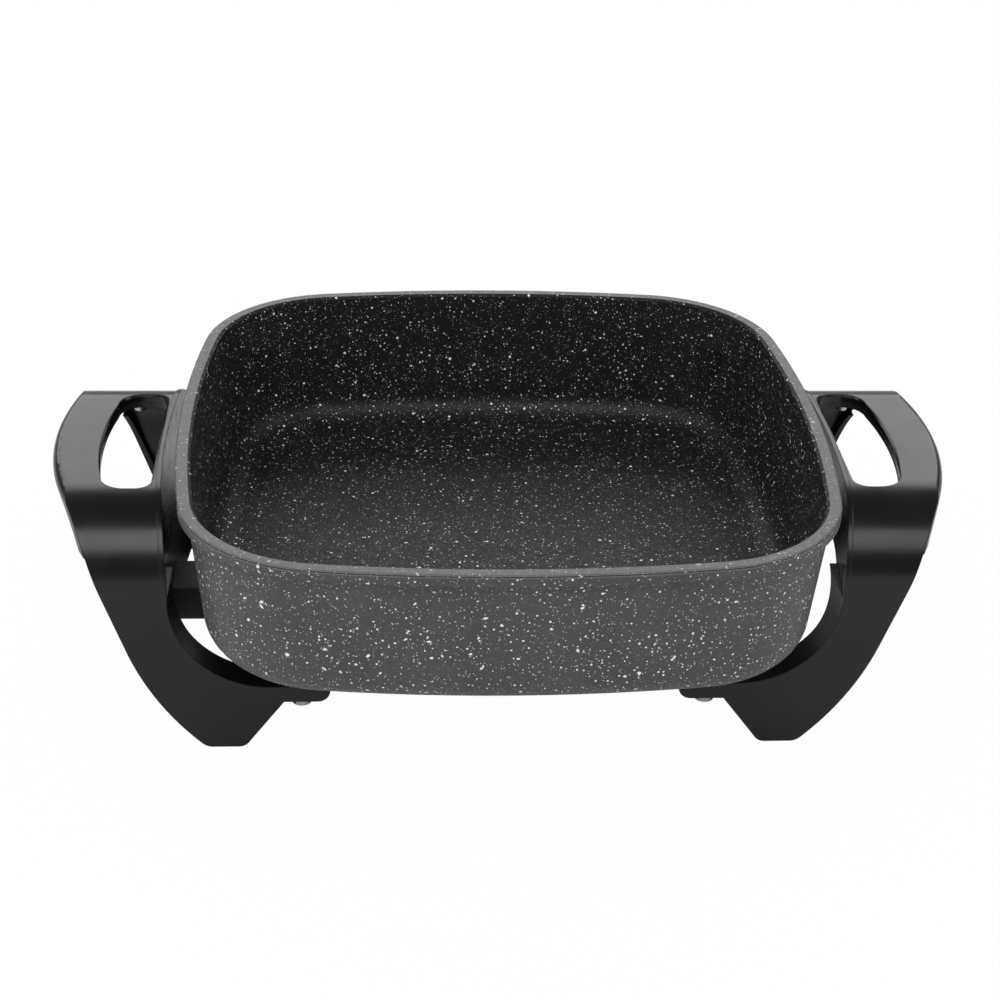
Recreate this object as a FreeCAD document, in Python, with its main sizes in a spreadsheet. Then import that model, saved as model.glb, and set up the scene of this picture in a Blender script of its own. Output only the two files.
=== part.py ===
import FreeCAD, Part
import Sketcher
import math
import os

# Electric skillet: a square cast pan with two loop handles that carry its legs.
# Millimetres, +Z up. The origin is on the table, below the middle of the pan.
# +X runs towards the right handle, and the socket is on the left, at -X.

DIMENSIONS = [
    # pan
    ("pan_width", 305.0),
    ("side_radius", 682.0),
    ("corner_radius", 68.5),
    ("rim_height", 134.0),
    ("pan_depth", 73.2),
    ("flange_thick", 5.0),
    ("flange_over", 3.4),
    ("lip_drop", 10.0),
    ("wall_draft", 7.4),
    ("pan_wall", 3.2),
    ("floor_thick", 4.5),
    ("bottom_radius", 16.5),
    ("inner_radius", 13.0),
    ("rim_bevel", 1.1),
    ("rim_round", 1.2),
    ("rest_drop", 20.0),
    ("rest_tall", 24.0),
    ("rest_reach", 5.0),
    ("rest_width", 16.0),
    # heating element
    ("element_in", 64.5),
    ("element_corner", 34.0),
    ("tube_radius", 3.2),
    ("element_drop", 8.6),
    ("ridge_width", 12.0),
    ("element_bend", 12.0),
    ("sleeve_radius", 3.6),
    ("sleeve_bore", 2.6),
    ("sleeve_boss", 5.5),
    ("sensor_boss_in", 36.5),
    # handles and legs
    ("handle_depth", 165.2),
    ("loop_drop", 13.5),
    ("loop_out", 60.5),
    ("loop_radius", 180.0),
    ("loop_peak_y", 9.0),
    ("arch_radius", 38.0),
    ("skin", 4.0),
    ("cover_thick", 3.0),
    ("side_wall", 3.2),
    ("leg_depth", 15.1),
    ("leg_arch_radius", 33.5),
    ("leg_arch_drop", 37.0),
    ("loop_edge_round", 4.0),
    ("edge_depth", 8.0),
    ("inner_out", 7.2),
    ("inner_plan_radius", 620.0),
    ("edge_out", 1.9),
    ("inner_arc", 45.5),
    ("leg_top_out", 37.5),
    ("leg_top_drop", 20.5),
    ("knee_out", 22.5),
    ("knee_drop", 64.5),
    ("leg_radius", 130.0),
    ("foot_in", 15.0),
    ("foot_wide", 13.5),
    ("foot_round", 5.0),
    ("tongue_tip_in", 71.0),
    ("tongue_drop", 35.8),
    ("tongue_round", 6.0),
    ("tongue_root_in", 49.5),
    ("tongue_thick", 8.8),
    ("hole_out", 10.5),
    ("hole_rim", 23.5),
    ("hole_end_gap", 34.1),
    ("hole_end_rim", 38.5),
    ("hole_round", 12.0),
    ("hole_inner_round", 8.0),
    ("hole_bevel", 1.2),
    ("bead_width", 2.2),
    ("bead_high", 0.8),
    ("cover_end_gap", 20.6),
    ("cover_reveal", 1.0),
    # brackets under the pan
    ("bar_width", 18.0),
    ("bar_thick", 3.0),
    ("bar_end_gap", 1.6),
    ("screw_in", 57.5),
    ("boss_radius", 6.5),
    ("screw_radius", 2.5),
    ("screw_long", 27.0),
    ("head_radius", 4.6),
    ("head_high", 3.2),
    ("washer_thick", 1.0),
    ("washer_radius", 5.6),
    # socket
    ("socket_width", 30.0),
    ("socket_high", 17.3),
    ("socket_drop", 33.0),
    ("mouth_out", 19.5),
    ("skirt_drop", 34.8),
    ("socket_in", 18.5),
    ("socket_plug", 8.0),
    ("socket_wall", 2.0),
    ("pin_pitch", 18.0),
    ("pin_radius", 2.0),
    ("pin_mouth", 6.0),
    ("pin_shank", 2.4),
    ("shank_proud", 0.3),
    ("bush_radius", 3.8),
    ("plate_thick", 2.0),
    ("small_screw", 1.5),
    ("small_head", 2.8),
    ("plate_screw", 2.0),
    ("spacer_radius", 4.0),
    ("cover_screw_in", 35.0),
    ("cover_screw_gap", 28.6),
    ("outer_zone_drop", 14.0),
    ("clearance", 0.25),
    ("snug", 0.05),
]

doc = FreeCAD.newDocument("ElectricSkillet")
sheet = doc.addObject("Spreadsheet::Sheet", "Sizes")
for row, (alias, value) in enumerate(DIMENSIONS, start=1):
    sheet.set("A%d" % row, alias)
    sheet.set("B%d" % row, repr(value))
    sheet.setAlias("B%d" % row, alias)
doc.recompute()


class Size:
    """A length that carries both its number and its formula in the sheet."""

    def __init__(self, number, formula):
        self.number = float(number)
        self.formula = formula

    def __add__(self, other):
        other = as_size(other)
        return Size(self.number + other.number, "(%s + %s)" % (self.formula, other.formula))

    def __sub__(self, other):
        other = as_size(other)
        return Size(self.number - other.number, "(%s - %s)" % (self.formula, other.formula))

    def __mul__(self, other):
        other = as_size(other)
        return Size(self.number * other.number, "(%s * %s)" % (self.formula, other.formula))

    def __truediv__(self, other):
        other = as_size(other)
        return Size(self.number / other.number, "(%s / %s)" % (self.formula, other.formula))

    def __neg__(self):
        return Size(-self.number, "(-1 * %s)" % self.formula)


def as_size(value):
    if isinstance(value, Size):
        return value
    return Size(value, "(%r)" % float(value))


def root(size):
    return Size(math.sqrt(size.number), "sqrt(%s)" % size.formula)


def read(alias):
    return Size(sheet.get(alias), "Sizes.%s" % alias)


S = {alias: read(alias) for alias, value in DIMENSIONS}

# Derived sizes that several pieces share.
rim_half = S["pan_width"] / 2
rim_z = S["rim_height"]
pan_low = rim_z - S["pan_depth"]
floor_z = pan_low + S["floor_thick"]
half_depth = S["handle_depth"] / 2
flat_half = half_depth - S["arch_radius"]

# Handles and legs: distances out from the rim, in from it, and down from the rim or the loop.
loop_z = rim_z - S["loop_drop"]
loop_x = rim_half + S["loop_out"]
inner_x = rim_half + S["inner_out"]
edge_x = rim_half + S["edge_out"]
leg_top_x = rim_half + S["leg_top_out"]
leg_top_z = loop_z - S["leg_top_drop"]
knee_x = rim_half + S["knee_out"]
knee_z = loop_z - S["knee_drop"]
foot_x = rim_half - S["foot_in"]
foot_inner_x = foot_x - S["foot_wide"]
tongue_tip_x = rim_half - S["tongue_tip_in"]
tongue_root_x = rim_half - S["tongue_root_in"]
arch_z = loop_z - S["arch_radius"]
leg_arch_z = loop_z - S["leg_arch_drop"]
tongue_z = pan_low - S["tongue_drop"]
tongue_top = tongue_z + S["tongue_thick"]
arc_z = tongue_top + S["inner_arc"]
bar_top = tongue_top + S["bar_thick"]
outer_zone_z = knee_z - S["outer_zone_drop"]
hole_inner_x = rim_half + S["hole_out"]
hole_outer_x = loop_x - S["hole_rim"]
hole_end_x = loop_x - S["hole_end_rim"]
hole_half = half_depth - S["hole_end_gap"]
cover_half = half_depth - S["cover_end_gap"]
cover_screw_x = loop_x - S["cover_screw_in"]
cover_screw_y = half_depth - S["cover_screw_gap"]
seat_z = loop_z - 8.5
screw_x = rim_half - S["screw_in"]
screw_y = half_depth - S["leg_depth"] / 2
bar_half = half_depth - S["bar_end_gap"]

# Element, sensor and socket.
element_half = rim_half - S["element_in"]
element_z = pan_low - S["element_drop"]
sensor_boss_x = rim_half - S["sensor_boss_in"]
sleeve_end = -sensor_boss_x - S["sleeve_boss"] + 1
socket_z = pan_low - S["socket_drop"]
skirt_z = pan_low - S["skirt_drop"]
pin_z = socket_z + S["socket_high"] / 2
pin_y = S["pin_pitch"] / 2
back_x = S["socket_in"] - rim_half
mouth_x = -rim_half - S["mouth_out"]
plug_x = back_x - S["socket_plug"]
shank_x = plug_x - S["shank_proud"]
fit = S["snug"]
socket_screw_x = plug_x + S["socket_plug"] / 2
socket_screw_y = pin_y / 2
plate_screw_y = S["pin_pitch"] * 0.42


def bind(thing, name, size):
    size = as_size(size)
    thing.setExpression(name, size.formula)


def place(thing, x=0, y=0, z=0):
    """Tie a base point to the sheet."""
    for axis, value in (("x", x), ("y", y), ("z", z)):
        bind(thing, "Placement.Base.%s" % axis, value)


PLANES = {
    "XY": FreeCAD.Rotation(),
    "XZ": FreeCAD.Rotation(FreeCAD.Vector(1, 0, 0), 90),
    "YZ": FreeCAD.Rotation(FreeCAD.Vector(1, 1, 1), 120),
}


def arc_centre(start, end, radius):
    """Centre of the shorter arc; a positive radius turns left."""
    chord = end - start
    left = FreeCAD.Vector(-chord.y, chord.x, 0).normalize()
    rise = math.sqrt(max(radius * radius - chord.Length ** 2 / 4, 0))
    return (start + end) * 0.5 + left * (rise if radius > 0 else -rise)


def draw(sketch, corners):
    """Closed outline of lines and arcs. A corner is x, y and the next edge's radius."""
    first = sketch.GeometryCount
    points = [FreeCAD.Vector(as_size(c[0]).number, as_size(c[1]).number, 0) for c in corners]
    count = len(points)
    ends = []
    for index in range(count):
        start, end = points[index], points[(index + 1) % count]
        radius = corners[index][2] if len(corners[index]) > 2 else None
        if radius is None:
            number = sketch.addGeometry(Part.LineSegment(start, end), False)
            ends.append((number, 1, 2))
            continue
        radius = as_size(radius)
        centre = arc_centre(start, end, radius.number)
        a = math.atan2(start.y - centre.y, start.x - centre.x)
        b = math.atan2(end.y - centre.y, end.x - centre.x)
        turn_left = radius.number > 0
        if not turn_left:
            a, b = b, a
        circle = Part.Circle(centre, FreeCAD.Vector(0, 0, 1), abs(radius.number))
        number = sketch.addGeometry(Part.ArcOfCircle(circle, a, b), False)
        ends.append((number, 1, 2) if turn_left else (number, 2, 1))
        rule = sketch.addConstraint(Sketcher.Constraint("Radius", number, abs(radius.number)))
        sketch.setExpression("Constraints[%d]" % rule, radius.formula if turn_left else (-radius).formula)
    for index in range(count):
        before = ends[index - 1]
        here = ends[index]
        sketch.addConstraint(Sketcher.Constraint("Coincident", before[0], before[2], here[0], here[1]))
    for index in range(count):
        number, start, end = ends[index]
        for kind, value, axis in (("DistanceX", corners[index][0], -2), ("DistanceY", corners[index][1], -1)):
            value = as_size(value)
            if abs(value.number) < 1e-9:
                sketch.addConstraint(Sketcher.Constraint("PointOnObject", number, start, axis))
                continue
            rule = sketch.addConstraint(Sketcher.Constraint(kind, -1, 1, number, start, value.number))
            sketch.setExpression("Constraints[%d]" % rule, value.formula)
    return first


def free_sketch(name, plane, outlines, offset=None):
    """Sketch on a plane through the origin, or above it by an offset along Z."""
    sketch = doc.addObject("Sketcher::SketchObject", name)
    sketch.Placement = FreeCAD.Placement(FreeCAD.Vector(), PLANES[plane])
    for corners in outlines:
        draw(sketch, corners)
    if offset is not None:
        bind(sketch, "Placement.Base.z", offset)
    return sketch


def extrude(name, sketch, direction, forward, backward=0):
    body = doc.addObject("Part::Extrusion", name)
    body.Base = sketch
    body.DirMode = "Custom"
    body.Dir = FreeCAD.Vector(*direction)
    body.Solid = True
    bind(body, "LengthFwd", forward)
    bind(body, "LengthRev", backward)
    return body


def cylinder(name, radius, height, x=0, y=0, z=0, axis="Z"):
    body = doc.addObject("Part::Cylinder", name)
    bind(body, "Radius", radius)
    bind(body, "Height", height)
    if axis == "X":
        body.Placement = FreeCAD.Placement(FreeCAD.Vector(), FreeCAD.Rotation(FreeCAD.Vector(0, 1, 0), 90))
    place(body, x, y, z)
    return body


def box(name, length, width, height, x=0, y=0, z=0):
    body = doc.addObject("Part::Box", name)
    bind(body, "Length", length)
    bind(body, "Width", width)
    bind(body, "Height", height)
    place(body, x, y, z)
    return body


def fuse(name, shapes):
    body = doc.addObject("Part::MultiFuse", name)
    body.Shapes = shapes
    body.Refine = True
    return body


def common(name, shapes):
    body = doc.addObject("Part::MultiCommon", name)
    body.Shapes = shapes
    return body


def cut(name, base, tools):
    """Take one or more tools from a base, one after another."""
    for index, tool in enumerate(tools):
        last = index == len(tools) - 1
        body = doc.addObject("Part::Cut", name if last else "%s_step%d" % (name, index + 1))
        body.Base = base
        body.Tool = tool
        base = body
    base.Refine = True
    return base


def mirror(name, source):
    """The same piece on the left."""
    body = doc.addObject("Part::Mirroring", name)
    body.Source = source
    body.Normal = FreeCAD.Vector(1, 0, 0)
    return body


def body_sketch(body, name, role, outlines, offset=None):
    """Sketch on one of a body's own origin planes."""
    sketch = body.newObject("Sketcher::SketchObject", name)
    plane = [p for p in body.Origin.OriginFeatures if p.Role == role][0]
    sketch.AttachmentSupport = [(plane, "")]
    sketch.MapMode = "FlatFace"
    if offset is not None:
        bind(sketch, "AttachmentOffset.Base.z", offset)
    for corners in outlines:
        draw(sketch, corners)
    return sketch


def square_outline(inset):
    """Rounded square with bulging sides, drawn in from the rim by an inset."""
    side = S["side_radius"]
    centre_out = side - S["pan_width"] / 2
    gap = side - S["corner_radius"]
    corner = (root(gap * gap * 2 - centre_out * centre_out) - centre_out) / 2
    reach = side - inset
    far = reach * (corner + centre_out) / gap - centre_out
    near = reach * corner / gap
    small = S["corner_radius"] - inset
    return [
        (far, -near, reach), (far, near, small),
        (near, far, reach), (-near, far, small),
        (-far, near, reach), (-far, -near, small),
        (-near, -far, reach), (near, -far, small),
    ]


def level_edges(shape, height):
    """Names of the edges that lie at one height."""
    names = []
    for index, edge in enumerate(shape.Edges, start=1):
        bounds = edge.BoundBox
        if abs(bounds.ZMin - height.number) < 0.01 and abs(bounds.ZMax - height.number) < 0.01:
            names.append("Edge%d" % index)
    return names


def corner_centre():
    """Distance of a corner's centre from the middle, along X and Y."""
    side = S["side_radius"]
    centre_out = side - S["pan_width"] / 2
    gap = side - S["corner_radius"]
    return (root(gap * gap * 2 - centre_out * centre_out) - centre_out) / 2


def rest_outlines():
    """Four small lens shapes, each let into a corner of the cavity."""
    half = S["rest_width"] / 2
    inset = S["flange_over"] + S["wall_draft"] * S["rest_drop"] / S["pan_depth"] + S["pan_wall"] - 0.6
    radius = S["corner_radius"] - inset
    rise = root(radius * radius - half * half)
    centre = corner_centre()
    near = centre + (rise - half) / math.sqrt(2)
    far = centre + (rise + half) / math.sqrt(2)
    bulge = (half * half + S["rest_reach"] * S["rest_reach"]) / S["rest_reach"] / 2
    outlines = []
    for sx, sy in ((1, 1), (-1, 1), (-1, -1), (1, -1)):
        first, last = (far * sx, near * sy), (near * sx, far * sy)
        if sx * sy < 0:
            first, last = last, first
        outlines.append([(first[0], first[1], radius), (last[0], last[1], bulge)])
    return outlines


def make_casting():
    """Outer form of the pan: leaning wall, rounded bottom edge and rim flange."""
    body = doc.addObject("PartDesign::Body", "casting")
    top_inset = S["flange_over"]
    low_inset = S["flange_over"] + S["wall_draft"]
    outer_top = body_sketch(body, "wall_top", "XY_Plane", [square_outline(top_inset)], rim_z)
    outer_low = body_sketch(body, "wall_low", "XY_Plane", [square_outline(low_inset)], pan_low)
    wall = loft(body, "wall", outer_top, outer_low)
    rounded(body, "bottom_edge", wall, level_edges(wall.Shape, pan_low), S["bottom_radius"])
    rim = body_sketch(body, "rim_outline", "XY_Plane", [square_outline(as_size(0))], rim_z)
    flange = body.newObject("PartDesign::Pad", "flange")
    flange.Profile = rim
    flange.Reversed = True
    bind(flange, "Length", S["flange_thick"])
    doc.recompute()
    lip_inset = S["flange_over"] + S["wall_draft"] * S["lip_drop"] / S["pan_depth"] + 0.1
    lip_top = body_sketch(body, "lip_top", "XY_Plane", [square_outline(as_size(0))], rim_z - S["flange_thick"])
    lip_low = body_sketch(body, "lip_low", "XY_Plane", [square_outline(lip_inset)], rim_z - S["lip_drop"])
    lip = loft(body, "lip", lip_top, lip_low)
    body.Tip = rounded(body, "rim_round", lip, level_edges(lip.Shape, rim_z), S["rim_round"])
    return body


def make_cavity():
    """Space inside the pan, with the bevel at the rim's inner edge."""
    body = doc.addObject("PartDesign::Body", "cavity")
    inset = S["flange_over"] + S["pan_wall"]
    lean = S["wall_draft"] * (S["pan_depth"] - S["floor_thick"]) / S["pan_depth"]
    top = body_sketch(body, "cavity_top", "XY_Plane", [square_outline(inset)], rim_z)
    low = body_sketch(body, "cavity_low", "XY_Plane", [square_outline(inset + lean)], floor_z)
    space = loft(body, "cavity_space", top, low)
    body.Tip = rounded(body, "floor_edge", space, level_edges(space.Shape, floor_z), S["inner_radius"])
    bevel = doc.addObject("PartDesign::Body", "rim_bevel")
    wide = body_sketch(bevel, "bevel_top", "XY_Plane", [square_outline(inset - S["rim_bevel"])], rim_z)
    tight = body_sketch(
        bevel, "bevel_low", "XY_Plane", [square_outline(inset + S["rim_bevel"])], rim_z - S["rim_bevel"] * 2)
    bevel.Tip = loft(bevel, "bevel_space", wide, tight)
    return [body, bevel]


def make_rests():
    """Small shelf in each corner of the cavity."""
    sketch = free_sketch("rest_outlines", "XY", rest_outlines(), rim_z - S["rest_drop"])
    return extrude("corner_rests", sketch, (0, 0, -1), S["rest_tall"])


def loft(body, name, first, second):
    feature = body.newObject("PartDesign::AdditiveLoft", name)
    feature.Profile = first
    feature.Sections = [(second, "")]
    feature.Ruled = True
    doc.recompute()
    return feature


def rounded(body, name, base, edges, radius):
    feature = body.newObject("PartDesign::Fillet", name)
    feature.Base = (base, edges)
    bind(feature, "Radius", radius)
    doc.recompute()
    return feature


def element_path():
    """Points of the tube's centre line: lines and three-point arcs, as numbers."""
    half = element_half.number
    corner = S["element_corner"].number
    bend = S["element_bend"].number
    high, low = element_z.number, pin_z.number
    y = pin_y.number
    joggle = bend * 1.2
    slope = math.sqrt(0.5)
    run = (high - low) - 2 * joggle * (1 - slope)
    x0 = -(half + bend)
    x1 = x0 - joggle * slope
    x2 = x1 - run
    x3 = x2 - joggle * slope
    mid = math.radians(22.5)
    z1 = high - joggle * (1 - slope)
    z2 = z1 - run
    rise = joggle * (1 - math.cos(mid))
    across = joggle * math.sin(mid)
    V = FreeCAD.Vector

    def branch(side):
        """From the socket up to the ring, on one side of the middle."""
        yy = side * y
        return [
            ("line", V(back_x.number, yy, low), V(x3, yy, low)),
            ("arc", V(x3, yy, low), V(x3 + across, yy, low + rise), V(x2, yy, z2)),
            ("line", V(x2, yy, z2), V(x1, yy, z1)),
            ("arc", V(x1, yy, z1), V(x0 - across, yy, high - rise), V(x0, yy, high)),
            ("arc", V(x0, yy, high),
             V(x0 + bend * slope, yy + side * bend * (1 - slope), high),
             V(-half, yy + side * bend, high)),
        ]

    def turn(sx, sy, start, end):
        centre = V(sx * (half - corner), sy * (half - corner), high)
        middle = centre + V(sx * corner * slope, sy * corner * slope, 0)
        return ("arc", start, middle, end)

    flat = half - corner
    corners = [
        ("line", V(-half, y + bend, high), V(-half, flat, high)),
        turn(-1, 1, V(-half, flat, high), V(-flat, half, high)),
        ("line", V(-flat, half, high), V(flat, half, high)),
        turn(1, 1, V(flat, half, high), V(half, flat, high)),
        ("line", V(half, flat, high), V(half, -flat, high)),
        turn(1, -1, V(half, -flat, high), V(flat, -half, high)),
        ("line", V(flat, -half, high), V(-flat, -half, high)),
        turn(-1, -1, V(-flat, -half, high), V(-half, -flat, high)),
        ("line", V(-half, -flat, high), V(-half, -(y + bend), high)),
    ]
    back = []
    for step in reversed(branch(-1)):
        back.append((step[0],) + tuple(reversed(step[1:])))
    return branch(1) + corners + back


def tube(name, radius):
    """Round tube along the element's path."""
    edges = []
    for step in element_path():
        if step[0] == "line":
            edges.append(Part.makeLine(step[1], step[2]))
        else:
            edges.append(Part.Arc(step[1], step[2], step[3]).toShape())
    path = Part.Wire(edges)
    start = edges[0].valueAt(edges[0].FirstParameter)
    ring = Part.Wire(Part.makeCircle(radius.number, start, FreeCAD.Vector(1, 0, 0)))
    feature = doc.addObject("Part::Feature", name)
    feature.Shape = path.makePipeShell([ring], True, False)
    feature.Placement = FreeCAD.Placement()
    print(name, "volume ratio", feature.Shape.Volume / (math.pi * radius.number ** 2 * path.Length))
    return feature


def ring_outline(half, corner):
    flat = half - corner
    return [
        (half, -flat), (half, flat, corner), (flat, half), (-flat, half, corner),
        (-half, flat), (-half, -flat, corner), (-flat, -half), (flat, -half, corner),
    ]


def make_pan():
    shell = cut("pan_shell", make_casting(), make_cavity())
    ridge_half = S["ridge_width"] / 2
    half, corner = element_half, S["element_corner"]
    outlines = [
        ring_outline(half + ridge_half, corner + ridge_half),
        ring_outline(half - ridge_half, corner - ridge_half),
    ]
    ridge_sketch = free_sketch("ridge_outline", "XY", outlines, element_z)
    ridge = extrude("ridge", ridge_sketch, (0, 0, 1), S["element_drop"] + 0.5)
    solids = [shell, make_rests(), ridge]
    holes = []
    for index, (sx, sy) in enumerate(((1, 1), (1, -1), (-1, 1), (-1, -1)), start=1):
        x, y = screw_x * sx, screw_y * sy
        tall = pan_low - bar_top
        solids.append(cylinder("boss_%d" % index, S["boss_radius"], tall + 0.5, x, y, bar_top))
        deep = S["screw_long"] + 1 - (bar_top - tongue_z)
        holes.append(cylinder("boss_hole_%d" % index, S["screw_radius"], deep, x, y, bar_top))
    low = pin_z - S["sleeve_boss"]
    solids.append(cylinder("sensor_boss", S["sleeve_boss"], pan_low - low + 0.5, -sensor_boss_x, 0, low))
    wide = S["sleeve_boss"] * 2
    start = sleeve_end - wide
    holes.append(box("sensor_flat", wide, wide, wide, start, -S["sleeve_boss"], pin_z - S["sleeve_boss"]))
    holes.append(tube("element_groove", S["tube_radius"] + fit))
    return cut("pan_body", fuse("pan_solid", solids), holes)


def leg_outline():
    """Side view of a handle and its leg, seen along Y, on the right."""
    foot = S["foot_round"]
    edge = edge_x
    reach = S["inner_arc"]
    tip, low = tongue_tip_x, tongue_z
    nose = S["tongue_round"]
    top = loop_z + 8
    out = loop_x + 12
    return [
        (foot_inner_x, as_size(0)),
        (foot_x, as_size(0), foot * 1.6),
        (foot_x + foot * 0.8, foot * 0.36, S["leg_radius"]),
        (knee_x, knee_z),
        (leg_top_x, leg_top_z),
        (out, leg_top_z + 12),
        (out, top),
        (edge, top),
        (edge, arc_z, -reach),
        (edge - reach, tongue_top),
        (tip, tongue_top),
        (tip, low + nose, nose),
        (tip + nose, low),
        (tongue_root_x, low),
        (foot_inner_x - foot * 0.9, foot * 0.6, foot * 1.2),
    ]


def leg_core():
    """Hollow inside the leg's walls, with the tongue left solid."""
    wall = S["side_wall"]
    edge = edge_x + wall
    reach = S["inner_arc"] + wall
    top = loop_z + 12
    out = loop_x + 16
    core_x = foot_inner_x + 1
    drop = core_x - (edge - reach)
    core_z = arc_z - root(reach * reach - drop * drop)
    return [
        (core_x, wall),
        (foot_x - 0.5, wall),
        (foot_x + S["foot_round"] * 0.8 - wall * 0.8, wall + S["foot_round"] * 0.5, S["leg_radius"] - wall),
        (knee_x - wall, knee_z + 1),
        (leg_top_x - wall, leg_top_z - 2),
        (out, leg_top_z + 2),
        (out, top),
        (edge, top),
        (edge, arc_z, -reach),
        (core_x, core_z),
    ]


def arch_outline(inset, low):
    """End view of the handle: two legs and the loop across them, seen along X."""
    half = half_depth - inset
    radius = S["arch_radius"] - inset
    return [
        (half, low), (half, arch_z, radius), (flat_half, arch_z + radius),
        (-flat_half, arch_z + radius, radius), (-half, arch_z), (-half, low),
    ]


def leg_arch_outline():
    """End view of the opening between a handle's two legs."""
    half = half_depth - S["leg_depth"]
    radius = S["leg_arch_radius"]
    top = leg_arch_z
    return [
        (half, as_size(-3)), (half, top - radius, radius), (half - radius, top),
        (radius - half, top, radius), (-half, top - radius), (-half, as_size(-3)),
    ]


def pan_side(inset):
    """Plan of the space that the pan's bulging side needs, inside a handle."""
    half = half_depth + 8
    radius = S["inner_plan_radius"] + inset
    peak = inner_x + inset
    edge = peak - radius + root(radius * radius - half * half)
    return [(edge, -half, radius), (edge, half), (as_size(60), half), (as_size(60), -half)]


def loop_plan():
    """Outer edge of the loop, seen from above, with a rounded top edge."""
    body = doc.addObject("PartDesign::Body", "loop_plan")
    radius = S["loop_radius"]
    centre = loop_x - radius
    peak = S["loop_peak_y"]
    front, back = peak - radius, peak + radius
    outline = [
        (centre, front, radius), (loop_x, peak, radius), (centre, back),
        (as_size(0), back), (as_size(0), front),
    ]
    sketch = body_sketch(body, "loop_plan_outline", "XY_Plane", [outline], as_size(-1))
    block = body.newObject("PartDesign::Pad", "loop_plan_block")
    block.Profile = sketch
    bind(block, "Length", loop_z + 1)
    doc.recompute()
    top_edges = level_edges(block.Shape, loop_z)
    body.Tip = rounded(body, "loop_edge_round", block, top_edges, S["loop_edge_round"])
    return body


def finger_outline(grow):
    """D shape of the finger hole, seen from above."""
    inner, outer = hole_inner_x - grow, hole_outer_x + grow
    half = hole_half + grow
    end = hole_end_x
    turn = S["hole_round"]
    tight = S["hole_inner_round"]
    shoulder = half - turn
    rise = outer - (end + turn)
    bulge = (shoulder * shoulder + rise * rise) / rise / 2
    return [
        (inner + tight, -half), (end, -half, turn),
        (end + turn, -shoulder, bulge), (end + turn, shoulder, turn),
        (end, half), (inner + tight, half, tight),
        (inner, half - tight), (inner, tight - half, tight),
    ]


def finger_flare():
    """Bevel round the top edge of the finger hole."""
    body = doc.addObject("PartDesign::Body", "finger_flare")
    bevel = S["hole_bevel"]
    low = body_sketch(body, "flare_low", "XY_Plane", [finger_outline(as_size(0))], loop_z - bevel)
    high = body_sketch(body, "flare_high", "XY_Plane", [finger_outline(bevel * 2)], loop_z + bevel)
    body.Tip = loft(body, "flare", low, high)
    return body


def prism(name, plane, outline, direction, forward, backward=0, offset=None):
    return extrude(name, free_sketch(name + "_outline", plane, [outline], offset), direction, forward, backward)


def make_handle():
    """Right handle: a skin over the loop and legs, with walls behind its edges."""
    far = loop_x + 20
    span = half_depth + 5
    arch = prism("arch", "YZ", arch_outline(as_size(0), as_size(-1)), (1, 0, 0), far)
    arch_skin = prism("arch_skin", "YZ", arch_outline(S["skin"], as_size(-2)), (1, 0, 0), far)
    leg_arch = prism("leg_arch", "YZ", leg_arch_outline(), (1, 0, 0), far)
    arch_edge = prism("arch_edge", "YZ", arch_outline(S["edge_depth"], as_size(-4)), (1, 0, 0), far)
    legs = prism("legs", "XZ", leg_outline(), (0, 1, 0), span, span)
    core = prism("leg_core", "XZ", leg_core(), (0, 1, 0), span + 1, span + 1)
    plan = loop_plan()
    room = prism("pan_room", "XY", pan_side(as_size(0)), (0, 0, 1), 60, 0, arc_z)
    room_wall = prism("pan_room_wall", "XY", pan_side(S["side_wall"]), (0, 0, 1), 62, 0, arc_z - 1)
    finger = prism("finger_hole", "XY", finger_outline(as_size(0)), (0, 0, 1), 60, 0, loop_z - 30)
    split = outer_zone_z
    outer_zone = prism("outer_zone", "XZ", [
        (knee_x - 4, split), (far, split), (far, leg_top_z + 8),
        (hole_inner_x + 1, leg_top_z + 8), (hole_inner_x + 1, knee_z + 6),
    ], (0, 1, 0), span, span)
    solid = cut("handle_solid", common("handle_envelope", [arch, legs, plan]), [room])
    hollow_core = cut("hollow_core", core, [room_wall])
    hollow = common("hollow", [arch_skin, hollow_core])
    edge_hollow = common("edge_hollow", [arch_edge, outer_zone])
    screw_holes = []
    for index, sy in enumerate((1, -1), start=1):
        screw_holes.append(cylinder(
            "tongue_hole_%d" % index, S["screw_radius"] + S["clearance"], 12,
            screw_x, screw_y * sy, tongue_z - 1))
        screw_holes.append(cylinder(
            "skin_hole_%d" % index, S["small_screw"], 6.5,
            cover_screw_x, cover_screw_y * sy, loop_z - 9))
    return cut("handle_shell", solid, [hollow, leg_arch, edge_hollow, finger, finger_flare()] + screw_holes)


def make_bead():
    """Raised lip along the inner edge of the legs and over the loop."""
    edge = edge_x
    reach = S["inner_arc"]
    wide, high = S["bead_width"], S["bead_high"]
    far = loop_x + 10
    span = half_depth + 5
    outer = prism("bead_outer", "YZ", arch_outline(-high, as_size(0)), (1, 0, 0), far)
    inner = prism("bead_inner", "YZ", arch_outline(high, as_size(-1)), (1, 0, 0), far)
    lip = [
        (edge, arc_z, -reach), (edge - reach, tongue_top), (edge - reach - 8, tongue_top),
        (edge - reach - 8, tongue_top - wide), (edge - reach, tongue_top - wide, reach + wide),
        (edge + wide, arc_z),
    ]
    low_strip = prism("bead_low_strip", "XZ", lip, (0, 1, 0), span, span)
    wide_plan = prism("bead_wide_plan", "XY", pan_side(wide), (0, 0, 1), 60, 0, arc_z)
    room = prism("bead_room", "XY", pan_side(as_size(0)), (0, 0, 1), 62, 0, arc_z - 1)
    span_box = box("bead_span", far, span * 2, 60, edge - 4, -span, arc_z)
    high_strip = cut("bead_high_strip", common("bead_high_blank", [wide_plan, span_box]), [room])
    strips = fuse("bead_strips", [low_strip, high_strip])
    return common("bead", [cut("bead_skin", outer, [inner]), strips])


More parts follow.
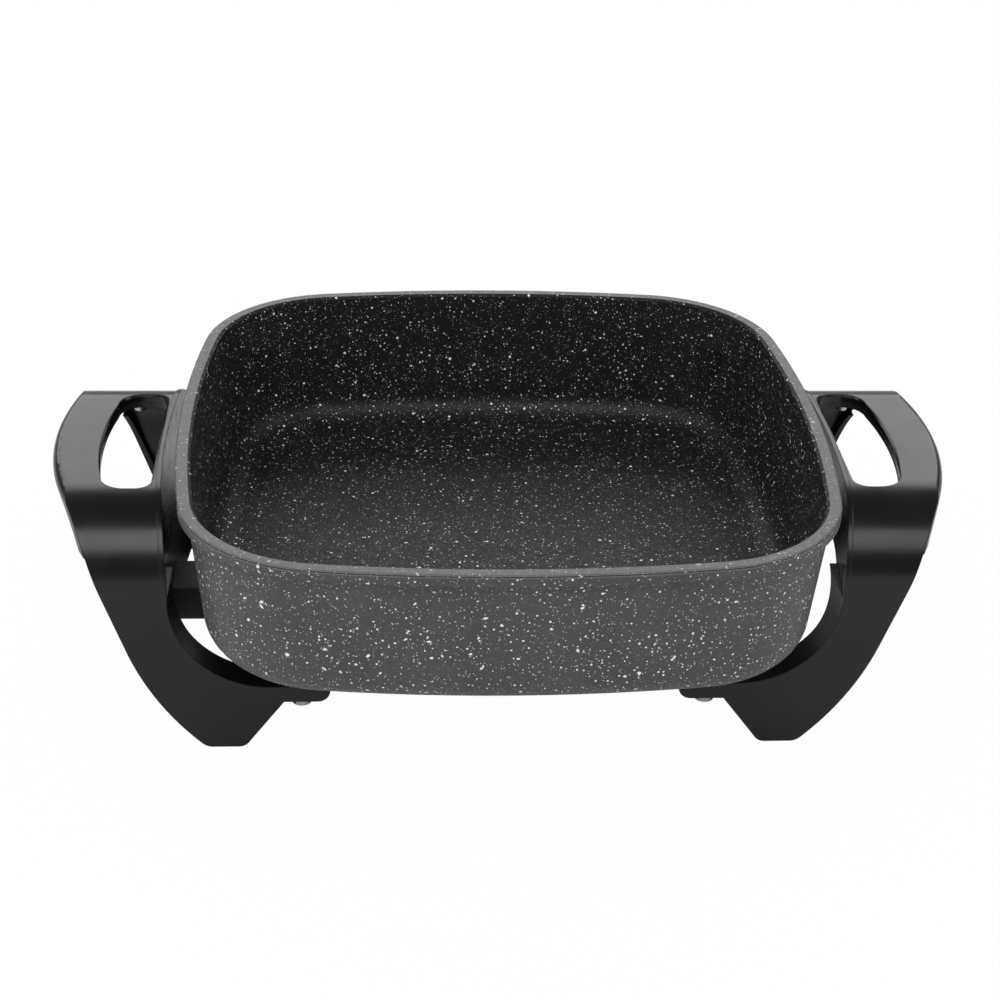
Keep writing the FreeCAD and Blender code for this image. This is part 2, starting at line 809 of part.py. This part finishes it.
def make_skirt():
    """Wall between the left handle's legs, with a hole for the socket."""
    wall = S["side_wall"]
    low = skirt_z
    tall = arc_z + 10 - low
    span = half_depth - S["skin"] / 2
    outer = prism("skirt_outer", "XY", pan_side(wall), (0, 0, 1), tall, 0, low)
    inner = prism("skirt_inner", "XY", pan_side(as_size(0)), (0, 0, 1), tall + 2, 0, low - 1)
    clip = box("skirt_clip", 60, span * 2, tall, foot_x, -span, low)
    blank = cut("skirt_blank", common("skirt_strip", [outer, clip]), [inner])
    left = mirror("skirt_left", blank)
    gap = S["clearance"]
    hole = box(
        "skirt_socket_hole", 60, S["socket_width"] + gap * 2, S["socket_high"] + gap * 2,
        mouth_x - 20, -(S["socket_width"] / 2) - gap, socket_z - gap)
    return cut("left_skirt", left, [hole])


def make_cover():
    """Second layer under the loop, held by two screws."""
    reveal = S["cover_reveal"]
    far = loop_x + 20
    under = S["skin"] + S["clearance"] * 0.2
    outer = prism("cover_outer", "YZ", arch_outline(under, as_size(0)), (1, 0, 0), far)
    inner = prism(
        "cover_inner", "YZ", arch_outline(S["skin"] + S["cover_thick"], as_size(-1)), (1, 0, 0), far)
    plan = cylinder(
        "cover_plan", S["loop_radius"] - reveal, loop_z + 5,
        loop_x - S["loop_radius"], S["loop_peak_y"], as_size(-1))
    span = box(
        "cover_span", far, cover_half * 2, loop_z,
        edge_x, -cover_half, leg_top_z)
    room = prism(
        "cover_room", "XY", pan_side(S["side_wall"] + S["clearance"]), (0, 0, 1), 80, 0, arc_z - 1)
    finger = prism("cover_finger", "XY", finger_outline(as_size(0.4)), (0, 0, 1), 60, 0, loop_z - 30)
    tools = [inner, room, finger]
    for index, sy in enumerate((1, -1), start=1):
        x, y = cover_screw_x, cover_screw_y * sy
        tools.append(cylinder("cover_hole_%d" % index, S["small_screw"] + S["clearance"], 20, x, y, seat_z - 8))
        tools.append(cylinder("cover_seat_%d" % index, S["small_head"] + S["clearance"], 10, x, y, seat_z - 10))
    return cut("cover_shell", common("cover_envelope", [outer, plan, span]), tools)


def screw(name, x, y, seat, radius, length, head_radius, head_high):
    """Screw driven upwards: its head hangs below the seat and has a cross recess."""
    shank = cylinder(name + "_shank", radius, length, x, y, seat)
    head = cylinder(name + "_head", head_radius, head_high, x, y, seat - head_high)
    slot_long, slot_wide = head_radius * 1.2, head_radius * 0.28
    deep = head_high * 0.5
    slot_a = box(
        name + "_slot_a", slot_long, slot_wide, deep,
        x - slot_long / 2, y - slot_wide / 2, seat - head_high)
    slot_b = box(
        name + "_slot_b", slot_wide, slot_long, deep,
        x - slot_wide / 2, y - slot_long / 2, seat - head_high)
    return cut(name, fuse(name + "_blank", [shank, head]), [slot_a, slot_b])


def group(name, parts):
    whole = doc.addObject("Part::Compound", name)
    whole.Links = parts
    return whole


def tongue_fixings(side, sign):
    """Screws and washers that hold a handle's tongues and bar to the pan."""
    screws, washers = [], []
    seat = tongue_z - S["washer_thick"]
    for index, sy in enumerate((1, -1), start=1):
        x, y = screw_x * sign, screw_y * sy
        screws.append(screw(
            "%s_tongue_screw_%d" % (side, index), x, y, seat,
            S["screw_radius"], S["screw_long"] + S["washer_thick"], S["head_radius"], S["head_high"]))
        disc = cylinder("%s_disc_%d" % (side, index), S["washer_radius"], S["washer_thick"], x, y, seat)
        hole = cylinder(
            "%s_disc_hole_%d" % (side, index), S["screw_radius"] + fit, S["washer_thick"] * 3,
            x, y, seat - S["washer_thick"])
        washers.append(cut("%s_washer_%d" % (side, index), disc, [hole]))
    return group("%s_tongue_screws" % side, screws), group("%s_tongue_washers" % side, washers)


def cover_fixings(side, sign):
    screws = []
    for index, sy in enumerate((1, -1), start=1):
        screws.append(screw(
            "%s_cover_screw_%d" % (side, index), cover_screw_x * sign, cover_screw_y * sy, seat_z,
            S["small_screw"], loop_z - 3 - seat_z, S["small_head"], S["small_head"] * 0.7))
    return group("%s_cover_screws" % side, screws)


def make_bar(name, sign, extra_holes):
    """Steel bar across a handle's two tongues."""
    half_wide = S["bar_width"] / 2
    body = doc.addObject("PartDesign::Body", name)
    middle = screw_x * sign
    long = bar_half
    outline = [
        (middle - half_wide, -long), (middle + half_wide, -long),
        (middle + half_wide, long), (middle - half_wide, long),
    ]
    sketch = body_sketch(body, name + "_outline", "XY_Plane", [outline], tongue_top)
    plate = body.newObject("PartDesign::Pad", name + "_plate")
    plate.Profile = sketch
    bind(plate, "Length", S["bar_thick"])
    doc.recompute()
    corners = upright_edges(plate.Shape)
    soft = rounded(body, name + "_corners", plate, corners, S["bar_width"] / 4)
    body.Tip = soft
    holes = []
    for index, sy in enumerate((1, -1), start=1):
        holes.append(cylinder(
            "%s_hole_%d" % (name, index), S["screw_radius"] + S["clearance"], 8,
            middle, screw_y * sy, tongue_top - 1))
    return cut(name + "_drilled", body, holes + extra_holes)


def upright_edges(shape):
    """Names of the straight edges that run along Z."""
    names = []
    for index, edge in enumerate(shape.Edges, start=1):
        if edge.BoundBox.XLength < 0.01 and edge.BoundBox.YLength < 0.01:
            names.append("Edge%d" % index)
    return names


def rounded_rectangle(half_wide, low, high, radius):
    return [
        (half_wide - radius, low, radius), (half_wide, low + radius),
        (half_wide, high - radius, radius), (half_wide - radius, high),
        (radius - half_wide, high, radius), (-half_wide, high - radius),
        (-half_wide, low + radius, radius), (radius - half_wide, low),
    ]


def make_shroud():
    """Socket housing: open towards the left, with a thick wall at its inner end."""
    wall = S["socket_wall"]
    half = S["socket_width"] / 2
    low = socket_z
    high = low + S["socket_high"]
    body = doc.addObject("PartDesign::Body", "shroud")
    outer = body_sketch(body, "shroud_outline", "YZ_Plane", [rounded_rectangle(half, low, high, as_size(2))], mouth_x)
    block = body.newObject("PartDesign::Pad", "shroud_block")
    block.Profile = outer
    bind(block, "Length", back_x - mouth_x)
    doc.recompute()
    inner = body_sketch(
        body, "shroud_mouth", "YZ_Plane",
        [rounded_rectangle(half - wall, low + wall, high - wall, as_size(1))], mouth_x)
    mouth = body.newObject("PartDesign::Pocket", "shroud_cavity")
    mouth.Profile = inner
    mouth.Reversed = True
    bind(mouth, "Length", plug_x - mouth_x)
    doc.recompute()
    body.Tip = mouth
    long = S["socket_plug"] + 2
    holes = []
    for index, sy in enumerate((1, -1), start=1):
        holes.append(cylinder("bush_hole_%d" % index, S["bush_radius"] + fit, long, plug_x - 1, pin_y * sy, pin_z, "X"))
        holes.append(cylinder(
            "plate_screw_hole_%d" % index, S["small_screw"], 5, socket_screw_x, socket_screw_y * sy, low - 0.5))
    holes.append(cylinder("sleeve_hole", S["sleeve_radius"] + fit, long, plug_x - 1, 0, pin_z, "X"))
    return cut("socket_shroud", body, holes)


def make_socket_pieces():
    """Pins, their ceramic bushes and the sensor sleeve between them."""
    pins, bushes = [], []
    pin_start = mouth_x + S["pin_mouth"]
    for index, sy in enumerate((1, -1), start=1):
        y = pin_y * sy
        pin = doc.addObject("Part::Feature", "pin_blank_%d" % index)
        pin.Shape = round_nosed_pin(
            S["pin_radius"].number, (shank_x - pin_start).number,
            S["pin_shank"].number, (back_x - shank_x).number)
        pin.Placement = FreeCAD.Placement(
            FreeCAD.Vector(pin_start.number, y.number, pin_z.number), FreeCAD.Rotation())
        pins.append(pin)
        bush = cylinder("bush_blank_%d" % index, S["bush_radius"], S["socket_plug"], plug_x, y, pin_z, "X")
        bore = cylinder(
            "bush_bore_%d" % index, S["pin_shank"] + fit, S["socket_plug"] + 2, plug_x - 1, y, pin_z, "X")
        bushes.append(cut("bush_%d" % index, bush, [bore]))
    end = sleeve_end
    sleeve_start = mouth_x + 4
    rod = cylinder("sleeve_rod", S["sleeve_radius"], end - sleeve_start, sleeve_start, 0, pin_z, "X")
    bore = cylinder("sleeve_hollow", S["sleeve_bore"], end - sleeve_start - 1, sleeve_start - 1, 0, pin_z, "X")
    sleeve = cut("sensor_sleeve", rod, [bore])
    return group("terminal_pins", pins), group("terminal_bushes", bushes), sleeve


def round_nosed_pin(radius, length, shank_radius, shank_length):
    """Pin along X with a rounded tip at its outer end and a thicker shank at the other."""
    nose = radius * 0.8
    end = length + shank_length
    outline = [
        (0, 0), (0, radius - nose), (nose, radius), (length, radius),
        (length, shank_radius), (end, shank_radius), (end, 0),
    ]
    points = [FreeCAD.Vector(x, y, 0) for x, y in outline]
    bend = FreeCAD.Vector(nose * (1 - math.sqrt(0.5)), radius - nose * (1 - math.sqrt(0.5)), 0)
    edges = []
    for index, start in enumerate(points):
        finish = points[(index + 1) % len(points)]
        if index == 1:
            edges.append(Part.Arc(start, bend, finish).toShape())
        else:
            edges.append(Part.makeLine(start, finish))
    return Part.Face(Part.Wire(edges)).revolve(FreeCAD.Vector(), FreeCAD.Vector(1, 0, 0), 360)


def make_plate():
    """Steel plate under the socket, hung from the left bar by two spacers."""
    low = socket_z - S["plate_thick"]
    start = socket_screw_x - 5
    end = -(screw_x - S["bar_width"] / 2)
    half = S["socket_width"] / 2 - 2
    body = doc.addObject("PartDesign::Body", "socket_plate_blank")
    outline = [(start, -half), (end, -half), (end, half), (start, half)]
    sketch = body_sketch(body, "plate_outline", "XY_Plane", [outline], low)
    pad = body.newObject("PartDesign::Pad", "plate_pad")
    pad.Profile = sketch
    bind(pad, "Length", S["plate_thick"])
    doc.recompute()
    soft = rounded(body, "plate_corners", pad, upright_edges(pad.Shape), as_size(3))
    body.Tip = soft
    holes, screws, spacers, bar_holes = [], [], [], []
    for index, sy in enumerate((1, -1), start=1):
        y = plate_screw_y * sy
        holes.append(cylinder(
            "plate_hole_%d" % index, S["plate_screw"] + S["clearance"], 6, -screw_x, y, low - 1))
        holes.append(cylinder(
            "shroud_hole_%d" % index, S["small_screw"] + S["clearance"], 6,
            socket_screw_x, socket_screw_y * sy, low - 1))
        tall = tongue_top - socket_z
        ring = cylinder("spacer_ring_%d" % index, S["spacer_radius"], tall, -screw_x, y, socket_z)
        bore = cylinder(
            "spacer_bore_%d" % index, S["plate_screw"] + S["clearance"], tall + 2,
            -screw_x, y, socket_z - 1)
        spacers.append(cut("spacer_%d" % index, ring, [bore]))
        screws.append(screw(
            "plate_screw_%d" % index, -screw_x, y, low, S["plate_screw"],
            bar_top - low, S["plate_screw"] * 1.9, S["plate_screw"] * 1.2))
        bar_holes.append(cylinder(
            "bar_tap_%d" % index, S["plate_screw"], 8, -screw_x, y, tongue_top - 1))
    shroud_screws = []
    for index, sy in enumerate((1, -1), start=1):
        shroud_screws.append(screw(
            "shroud_screw_%d" % index, socket_screw_x, socket_screw_y * sy, low, S["small_screw"],
            S["plate_thick"] + 4, S["small_head"], S["small_head"] * 0.7))
    return (
        cut("socket_plate", body, holes), group("plate_spacers", spacers),
        group("plate_screws", screws), group("shroud_screws", shroud_screws), bar_holes)


NODES = {}


def keep(name, thing):
    thing.Label = name
    NODES[name] = thing


keep("pan_body", make_pan())
keep("heating_element", tube("element_tube", S["tube_radius"]))
pins, bushes, sleeve = make_socket_pieces()
keep("terminal_pins", pins)
keep("terminal_bushes", bushes)
keep("sensor_sleeve", sleeve)
keep("socket_shroud", make_shroud())
plate, spacers, plate_screws, shroud_screws, bar_holes = make_plate()
keep("socket_plate", plate)
keep("socket_plate_spacers", spacers)
keep("socket_plate_screws", plate_screws)
keep("socket_shroud_screws", shroud_screws)
shell = make_handle()
right_handle = fuse("right_handle_fused", [shell, make_bead()])
keep("handle_right", right_handle)
keep("handle_left", fuse("left_handle_fused", [mirror("left_handle_mirrored", right_handle), make_skirt()]))
cover = make_cover()
keep("handle_cover_right", cover)
keep("handle_cover_left", mirror("left_cover_mirrored", cover))
keep("handle_bar_right", make_bar("right_bar", 1, []))
keep("handle_bar_left", make_bar("left_bar", -1, bar_holes))
for side, sign in (("right", 1), ("left", -1)):
    screws, washers = tongue_fixings(side, sign)
    keep("tongue_screws_" + side, screws)
    keep("tongue_washers_" + side, washers)
    keep("cover_screws_" + side, cover_fixings(side, sign))

doc.recompute()
for thing in doc.Objects:
    if "Invalid" in thing.State or "Error" in thing.State:
        raise RuntimeError("failed object: %s %s" % (thing.Name, thing.State))
for name, thing in NODES.items():
    if thing.Shape.isNull() or not thing.Shape.isValid():
        raise RuntimeError("bad shape: %s" % name)
os.makedirs("parts", exist_ok=True)
for name, thing in NODES.items():
    thing.Shape.exportStep("parts/%s.step" % name)
    print(name, len(thing.Shape.Solids), "solids", round(thing.Shape.Volume, 1))
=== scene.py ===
import bpy
import math
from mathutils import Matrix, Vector

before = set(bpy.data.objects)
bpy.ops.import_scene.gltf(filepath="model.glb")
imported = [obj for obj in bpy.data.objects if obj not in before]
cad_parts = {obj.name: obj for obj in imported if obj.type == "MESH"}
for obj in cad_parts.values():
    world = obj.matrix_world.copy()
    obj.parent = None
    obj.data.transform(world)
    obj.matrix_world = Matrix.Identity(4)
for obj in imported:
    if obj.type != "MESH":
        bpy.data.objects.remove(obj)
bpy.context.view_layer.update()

# Electric skillet: materials, floor, lamps and camera. Metres, +Z up.


def linear(value):
    """Linear light for an sRGB level from 0 to 255."""
    level = value / 255
    return level / 12.92 if level <= 0.04045 else ((level + 0.055) / 1.055) ** 2.4


def colour(red, green, blue):
    return (linear(red), linear(green), linear(blue), 1.0)


class Shader:
    """Small helper that adds nodes to one material and joins them."""

    def __init__(self, name):
        self.material = bpy.data.materials.new(name)
        self.material.use_nodes = True
        self.tree = self.material.node_tree
        self.main = self.tree.nodes["Principled BSDF"]
        self.place = self.add("ShaderNodeTexCoord").outputs["Object"]

    def add(self, kind, **settings):
        node = self.tree.nodes.new(kind)
        for key, value in settings.items():
            setattr(node, key, value)
        return node

    def join(self, source, target):
        self.tree.links.new(source, target)

    def put(self, socket, value):
        if hasattr(value, "is_output"):
            self.join(value, socket)
        else:
            socket.default_value = value

    def math(self, operation, first, second=0.0, clamp=False):
        node = self.add("ShaderNodeMath", operation=operation, use_clamp=clamp)
        self.put(node.inputs[0], first)
        self.put(node.inputs[1], second)
        return node.outputs[0]

    def mix(self, factor, first, second):
        node = self.add("ShaderNodeMix", data_type="RGBA")
        self.put(node.inputs[0], factor)
        self.put(node.inputs[6], first)
        self.put(node.inputs[7], second)
        return node.outputs[2]

    def spread(self, value, low, high, out_low=0.0, out_high=1.0):
        node = self.add("ShaderNodeMapRange")
        self.put(node.inputs[0], value)
        for index, number in enumerate((low, high, out_low, out_high), start=1):
            node.inputs[index].default_value = number
        return node.outputs[0]

    def noise(self, scale, detail=2.0, rough=0.5, where=None):
        node = self.add("ShaderNodeTexNoise")
        self.join(where or self.place, node.inputs["Vector"])
        node.inputs["Scale"].default_value = scale
        node.inputs["Detail"].default_value = detail
        node.inputs["Roughness"].default_value = rough
        return node.outputs["Fac"]

    def blend(self, factor, first, second):
        node = self.add("ShaderNodeMix", data_type="FLOAT")
        for socket, value in zip((node.inputs[0], node.inputs[2], node.inputs[3]), (factor, first, second)):
            self.put(socket, value)
        return node.outputs[0]

    def warp(self, where, scale, reach):
        """Coordinates pushed about by noise, so that round cells come out uneven."""
        noise = self.add("ShaderNodeTexNoise")
        self.join(where, noise.inputs["Vector"])
        noise.inputs["Scale"].default_value = scale
        shift = self.add("ShaderNodeVectorMath", operation="MULTIPLY_ADD")
        self.join(noise.outputs["Color"], shift.inputs[0])
        shift.inputs[1].default_value = (reach, reach, reach)
        self.join(where, shift.inputs[2])
        return shift.outputs[0]

    def cells(self, scale, where=None, feature="F1"):
        node = self.add("ShaderNodeTexVoronoi", feature=feature)
        self.join(where or self.place, node.inputs["Vector"])
        node.inputs["Scale"].default_value = scale
        return node

    def bump(self, height, distance, strength=1.0, edge=0.0):
        """Surface relief, with sharp edges shaded as if rounded by an edge radius."""
        node = self.add("ShaderNodeBump")
        self.join(height, node.inputs["Height"])
        node.inputs["Distance"].default_value = distance
        node.inputs["Strength"].default_value = strength
        if edge:
            bevel = self.add("ShaderNodeBevel", samples=4)
            bevel.inputs["Radius"].default_value = edge
            self.join(bevel.outputs[0], node.inputs["Normal"])
        self.join(node.outputs[0], self.main.inputs["Normal"])

    def set(self, **values):
        names = {
            "base": "Base Color", "metallic": "Metallic", "rough": "Roughness", "coat": "Coat Weight",
            "coat_rough": "Coat Roughness", "specular": "Specular IOR Level", "sheen": "Sheen Weight",
        }
        for key, value in values.items():
            self.put(self.main.inputs[names[key]], value)


def flecks(shader, where, spacing, smallest, largest, share, soft=0.00018):
    """Mask of flecks: one to a cell, of mixed sizes, and none in the other cells."""
    cells = shader.cells(1 / spacing, where)
    split = shader.add("ShaderNodeSeparateColor")
    shader.join(cells.outputs["Color"], split.inputs[0])
    size = shader.spread(split.outputs[0], 0, 1, smallest / spacing, largest / spacing)
    inside = shader.math("SUBTRACT", size, cells.outputs["Distance"])
    mask = shader.math("MULTIPLY", inside, spacing / soft, clamp=True)
    chosen = shader.math("LESS_THAN", split.outputs[1], share)
    return shader.math("MULTIPLY", mask, chosen)


def vector_parts(shader, vector):
    split = shader.add("ShaderNodeSeparateXYZ")
    shader.join(vector, split.inputs[0])
    return split.outputs


def inside_mask(shader):
    """1 on the pan's inner faces: walls that look inwards, the floor's top and the shelves."""
    geometry = shader.add("ShaderNodeNewGeometry")
    px, py, pz = vector_parts(shader, geometry.outputs["Position"])
    nx, ny, nz = vector_parts(shader, geometry.outputs["Normal"])
    outward = shader.math("ADD", shader.math("MULTIPLY", px, nx), shader.math("MULTIPLY", py, ny))
    inward = shader.math("LESS_THAN", outward, -0.01)
    upward = shader.math("GREATER_THAN", nz, 0.3)
    below_rim = shader.math("LESS_THAN", pz, 0.1335)
    level = shader.math("MULTIPLY", upward, below_rim)
    either = shader.math("MAXIMUM", inward, level)
    above_floor = shader.math("GREATER_THAN", pz, 0.0640)
    return shader.math("MULTIPLY", either, above_floor), nz, pz


def speckled_coat():
    """Grey coat with pale flecks outside and a painted highlight along the rim's top, a darker one with finer
    flecks inside.
    """
    s = Shader("speckled_coat")
    inside, nz, pz = inside_mask(s)
    wobble = s.warp(s.place, 700, 0.0010)
    smear = s.warp(s.place, 330, 0.0034)
    big = flecks(s, smear, 0.0056, 0.0004, 0.0010, 0.7)
    medium = flecks(s, wobble, 0.0027, 0.00030, 0.00062, 0.85)
    small = flecks(s, wobble, 0.0015, 0.0002, 0.00040, 0.9)
    dust = flecks(s, wobble, 0.0009, 0.0001, 0.00022, 0.85)
    cloud = s.noise(35, 3, 0.55)
    grain = s.noise(1500, 2, 0.6)
    ground = s.mix(s.spread(cloud, 0.3, 0.7), colour(58, 58, 59), colour(68, 68, 70))
    ground = s.mix(s.spread(grain, 0.35, 0.65, 0, 0.35), ground, colour(92, 91, 93))
    dark = s.mix(s.spread(cloud, 0.3, 0.7), colour(15, 14, 17), colour(22, 21, 24))
    dark = s.mix(s.spread(grain, 0.4, 0.7, 0, 0.3), dark, colour(48, 47, 50))
    # Painted highlight: the top millimetre of the rim is painted lighter grey, standing in for the light the
    # rim lip catches.
    rim_painted_highlight = s.math("GREATER_THAN", pz, 0.1325)
    ground = s.mix(s.math("MULTIPLY", rim_painted_highlight, 0.5), ground, colour(112, 111, 114))
    base = s.mix(inside, ground, dark)
    fleck_tone = s.mix(s.noise(900), colour(226, 222, 220), colour(255, 252, 250))
    loud = s.math("MAXIMUM", big, s.math("MAXIMUM", medium, s.math("MULTIPLY", small, 0.8)))
    out_mask = s.math("MAXIMUM", loud, s.math("MULTIPLY", dust, 0.4))
    # Fewer flecks where the rim's painted highlight lies.
    out_mask = s.math("MULTIPLY", out_mask, s.math("SUBTRACT", 1.0, s.math("MULTIPLY", rim_painted_highlight, 0.55)))
    few = flecks(s, wobble, 0.0047, 0.0004, 0.0008, 0.6)
    fine = flecks(s, wobble, 0.0021, 0.00022, 0.00048, 0.85)
    tiny = flecks(s, wobble, 0.0011, 0.00014, 0.00030, 0.9)
    in_mask = s.math("MAXIMUM", few, s.math("MAXIMUM", fine, s.math("MULTIPLY", tiny, 0.6)))
    mask = s.blend(inside, out_mask, in_mask)
    coated = s.mix(mask, base, fleck_tone)
    under = s.math("MULTIPLY", s.math("LESS_THAN", pz, 0.0612), s.math("LESS_THAN", nz, 0.5))
    bare = s.mix(s.spread(s.noise(400, 4, 0.7), 0.3, 0.7), colour(92, 90, 88), colour(120, 118, 115))
    s.set(base=s.mix(under, coated, bare), specular=s.blend(inside, 0.35, 0.22))
    s.set(rough=s.spread(s.noise(300, 3), 0.3, 0.7, 0.42, 0.56))
    s.bump(s.math("ADD", s.math("MULTIPLY", grain, 0.6), s.math("MULTIPLY", mask, 0.5)), 0.00008, 0.5)
    return s.material


def black_plastic():
    """Glossy black moulded plastic, with a matt texture on the lower legs."""
    s = Shader("handle_plastic")
    px, py, pz = vector_parts(s, s.place)
    haze = s.noise(18, 3, 0.6)
    s.set(base=s.mix(s.spread(haze, 0.3, 0.7), colour(8, 7, 10), colour(14, 13, 16)))
    low = s.spread(pz, 0.060, 0.075, 1, 0)
    gloss = s.spread(s.noise(60, 4, 0.6), 0.3, 0.7, 0.21, 0.29)
    matt = s.spread(s.noise(900, 2), 0.3, 0.7, 0.30, 0.42)
    s.set(rough=s.blend(low, gloss, matt), specular=0.4)
    peel = s.math("MULTIPLY", s.noise(170, 2), 0.4)
    texture = s.math("MULTIPLY", s.math("MULTIPLY", s.noise(2600, 1), 0.35), low)
    s.bump(s.math("ADD", peel, texture), 0.00010, 0.22, edge=0.0009)
    return s.material


def matt_plastic(name, tone, rough_low, rough_high):
    s = Shader(name)
    haze = s.noise(45, 3, 0.6)
    s.set(base=s.mix(haze, colour(*tone), colour(*[value + 9 for value in tone])))
    s.set(rough=s.spread(s.noise(500, 3), 0.3, 0.7, rough_low, rough_high), specular=0.4)
    s.bump(s.noise(2200, 2), 0.00006, 0.4)
    return s.material


def metal(name, dark, light, rough, scale, grain=(1, 1, 1)):
    """Metal with fine drawn or cast grain and a few duller patches."""
    s = Shader(name)
    stretch = s.add("ShaderNodeMapping")
    s.join(s.place, stretch.inputs["Vector"])
    stretch.inputs["Scale"].default_value = grain
    lines = s.noise(scale, 4, 0.6, stretch.outputs[0])
    patch = s.noise(90, 3, 0.6)
    base = s.mix(s.spread(lines, 0.3, 0.7), colour(*dark), colour(*light))
    s.set(base=s.mix(s.spread(patch, 0.55, 0.8, 0, 0.35), base, colour(*dark)), metallic=1.0)
    s.set(rough=s.spread(patch, 0.3, 0.7, rough, rough + 0.14))
    s.bump(lines, 0.00005, 0.3)
    return s.material


def ceramic():
    s = Shader("ceramic")
    s.set(base=s.mix(s.noise(300, 3), colour(214, 206, 190), colour(236, 230, 218)))
    s.set(rough=s.spread(s.noise(700, 2), 0.3, 0.7, 0.5, 0.7))
    s.bump(s.noise(1800, 2), 0.00005, 0.4)
    return s.material


coat = speckled_coat()
plastic = black_plastic()
cover_plastic = matt_plastic("cover_plastic", (20, 19, 21), 0.35, 0.5)
shroud_plastic = matt_plastic("shroud_plastic", (34, 34, 36), 0.45, 0.6)
plated = metal("plated_steel", (150, 150, 152), (196, 196, 198), 0.26, 900, (1, 0.05, 1))
screw_steel = metal("screw_steel", (140, 140, 142), (190, 190, 192), 0.24, 1400)
tube_steel = metal("element_steel", (84, 80, 76), (128, 122, 116), 0.38, 700)
nickel = metal("nickel", (176, 174, 168), (214, 212, 206), 0.16, 1600, (0.1, 1, 1))

FINISHES = {
    "pan_body": coat,
    "heating_element": tube_steel,
    "terminal_pins": nickel,
    "terminal_bushes": ceramic(),
    "sensor_sleeve": nickel,
    "socket_shroud": shroud_plastic,
    "socket_plate": plated,
    "socket_plate_spacers": screw_steel,
    "socket_plate_screws": screw_steel,
    "socket_shroud_screws": screw_steel,
}
for side in ("left", "right"):
    FINISHES["handle_" + side] = plastic
    FINISHES["handle_cover_" + side] = cover_plastic
    FINISHES["handle_bar_" + side] = plated
    FINISHES["tongue_screws_" + side] = screw_steel
    FINISHES["tongue_washers_" + side] = screw_steel
    FINISHES["cover_screws_" + side] = screw_steel
for node, finish in FINISHES.items():
    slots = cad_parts[node].material_slots
    for slot in slots:
        slot.material = finish


def mixed_shader(tree, factor, first, second):
    mix = tree.nodes.new("ShaderNodeMixShader")
    for socket, source in zip(mix.inputs, (factor, first, second)):
        tree.links.new(source, socket)
    return mix.outputs[0]


def make_floor():
    """Pale floor that reads as white to the camera and is clear from below."""
    half = 6.0
    mesh = bpy.data.meshes.new("floor")
    corners = [(-half, -half, -0.0002), (half, -half, -0.0002), (half, half, -0.0002), (-half, half, -0.0002)]
    mesh.from_pydata(corners, [], [(0, 1, 2, 3)])
    floor = bpy.data.objects.new("floor", mesh)
    bpy.context.collection.objects.link(floor)
    material = bpy.data.materials.new("floor_paper")
    material.use_nodes = True
    tree = material.node_tree
    tree.nodes.clear()
    paper = tree.nodes.new("ShaderNodeBsdfDiffuse")
    paper.inputs["Color"].default_value = (0.86, 0.86, 0.86, 1)
    glow = tree.nodes.new("ShaderNodeEmission")
    clear = tree.nodes.new("ShaderNodeBsdfTransparent")
    path = tree.nodes.new("ShaderNodeLightPath")
    geometry = tree.nodes.new("ShaderNodeNewGeometry")
    share = tree.nodes.new("ShaderNodeMath")
    share.operation = "MULTIPLY"
    share.inputs[1].default_value = 0.98
    tree.links.new(path.outputs["Is Camera Ray"], share.inputs[0])
    lit = mixed_shader(tree, share.outputs[0], paper.outputs[0], glow.outputs[0])
    whole = mixed_shader(tree, geometry.outputs["Backfacing"], lit, clear.outputs[0])
    output = tree.nodes.new("ShaderNodeOutputMaterial")
    tree.links.new(whole, output.inputs["Surface"])
    mesh.materials.append(material)


def make_world():
    """White to the camera, a dim even fill for everything else."""
    world = bpy.data.worlds.new("studio")
    bpy.context.scene.world = world
    world.use_nodes = True
    tree = world.node_tree
    tree.nodes.clear()
    fill = tree.nodes.new("ShaderNodeBackground")
    fill.inputs["Color"].default_value = (1, 1, 1, 1)
    fill.inputs["Strength"].default_value = 0.22
    white = tree.nodes.new("ShaderNodeBackground")
    white.inputs["Color"].default_value = (1, 1, 1, 1)
    path = tree.nodes.new("ShaderNodeLightPath")
    output = tree.nodes.new("ShaderNodeOutputWorld")
    mix = mixed_shader(tree, path.outputs["Is Camera Ray"], fill.outputs[0], white.outputs[0])
    tree.links.new(mix, output.inputs["Surface"])


def make_lamp(name, place, target, wide, tall, power):
    light = bpy.data.lights.new(name, "AREA")
    light.shape = "RECTANGLE"
    light.size, light.size_y = wide, tall
    light.energy = power
    lamp = bpy.data.objects.new(name, light)
    lamp.location = place
    lamp.rotation_euler = (Vector(target) - Vector(place)).to_track_quat("-Z", "Y").to_euler()
    bpy.context.collection.objects.link(lamp)


def make_camera():
    camera = bpy.data.cameras.new("camera")
    camera.sensor_width = 36
    camera.lens = 72.1345
    holder = bpy.data.objects.new("camera", camera)
    holder.location = (-0.05908, -0.85964, 0.55562)
    holder.rotation_euler = [math.radians(angle) for angle in (61.4294, -1.5079, -3.1420)]
    bpy.context.collection.objects.link(holder)
    bpy.context.scene.camera = holder


make_floor()
make_world()
make_lamp("front_soft", (-0.15, -1.05, 1.25), (0, 0, 0.08), 1.7, 0.8, 16)
make_lamp("back_soft", (0.0, 1.5, 1.0), (0, 0, 0.1), 2.6, 1.1, 19)
make_lamp("left_soft", (-1.5, -0.2, 0.8), (0, 0, 0.08), 0.7, 1.4, 8)
make_lamp("right_soft", (1.5, -0.2, 0.8), (0, 0, 0.08), 0.7, 1.4, 8)
make_camera()
bpy.context.scene.view_settings.view_transform = "Standard"
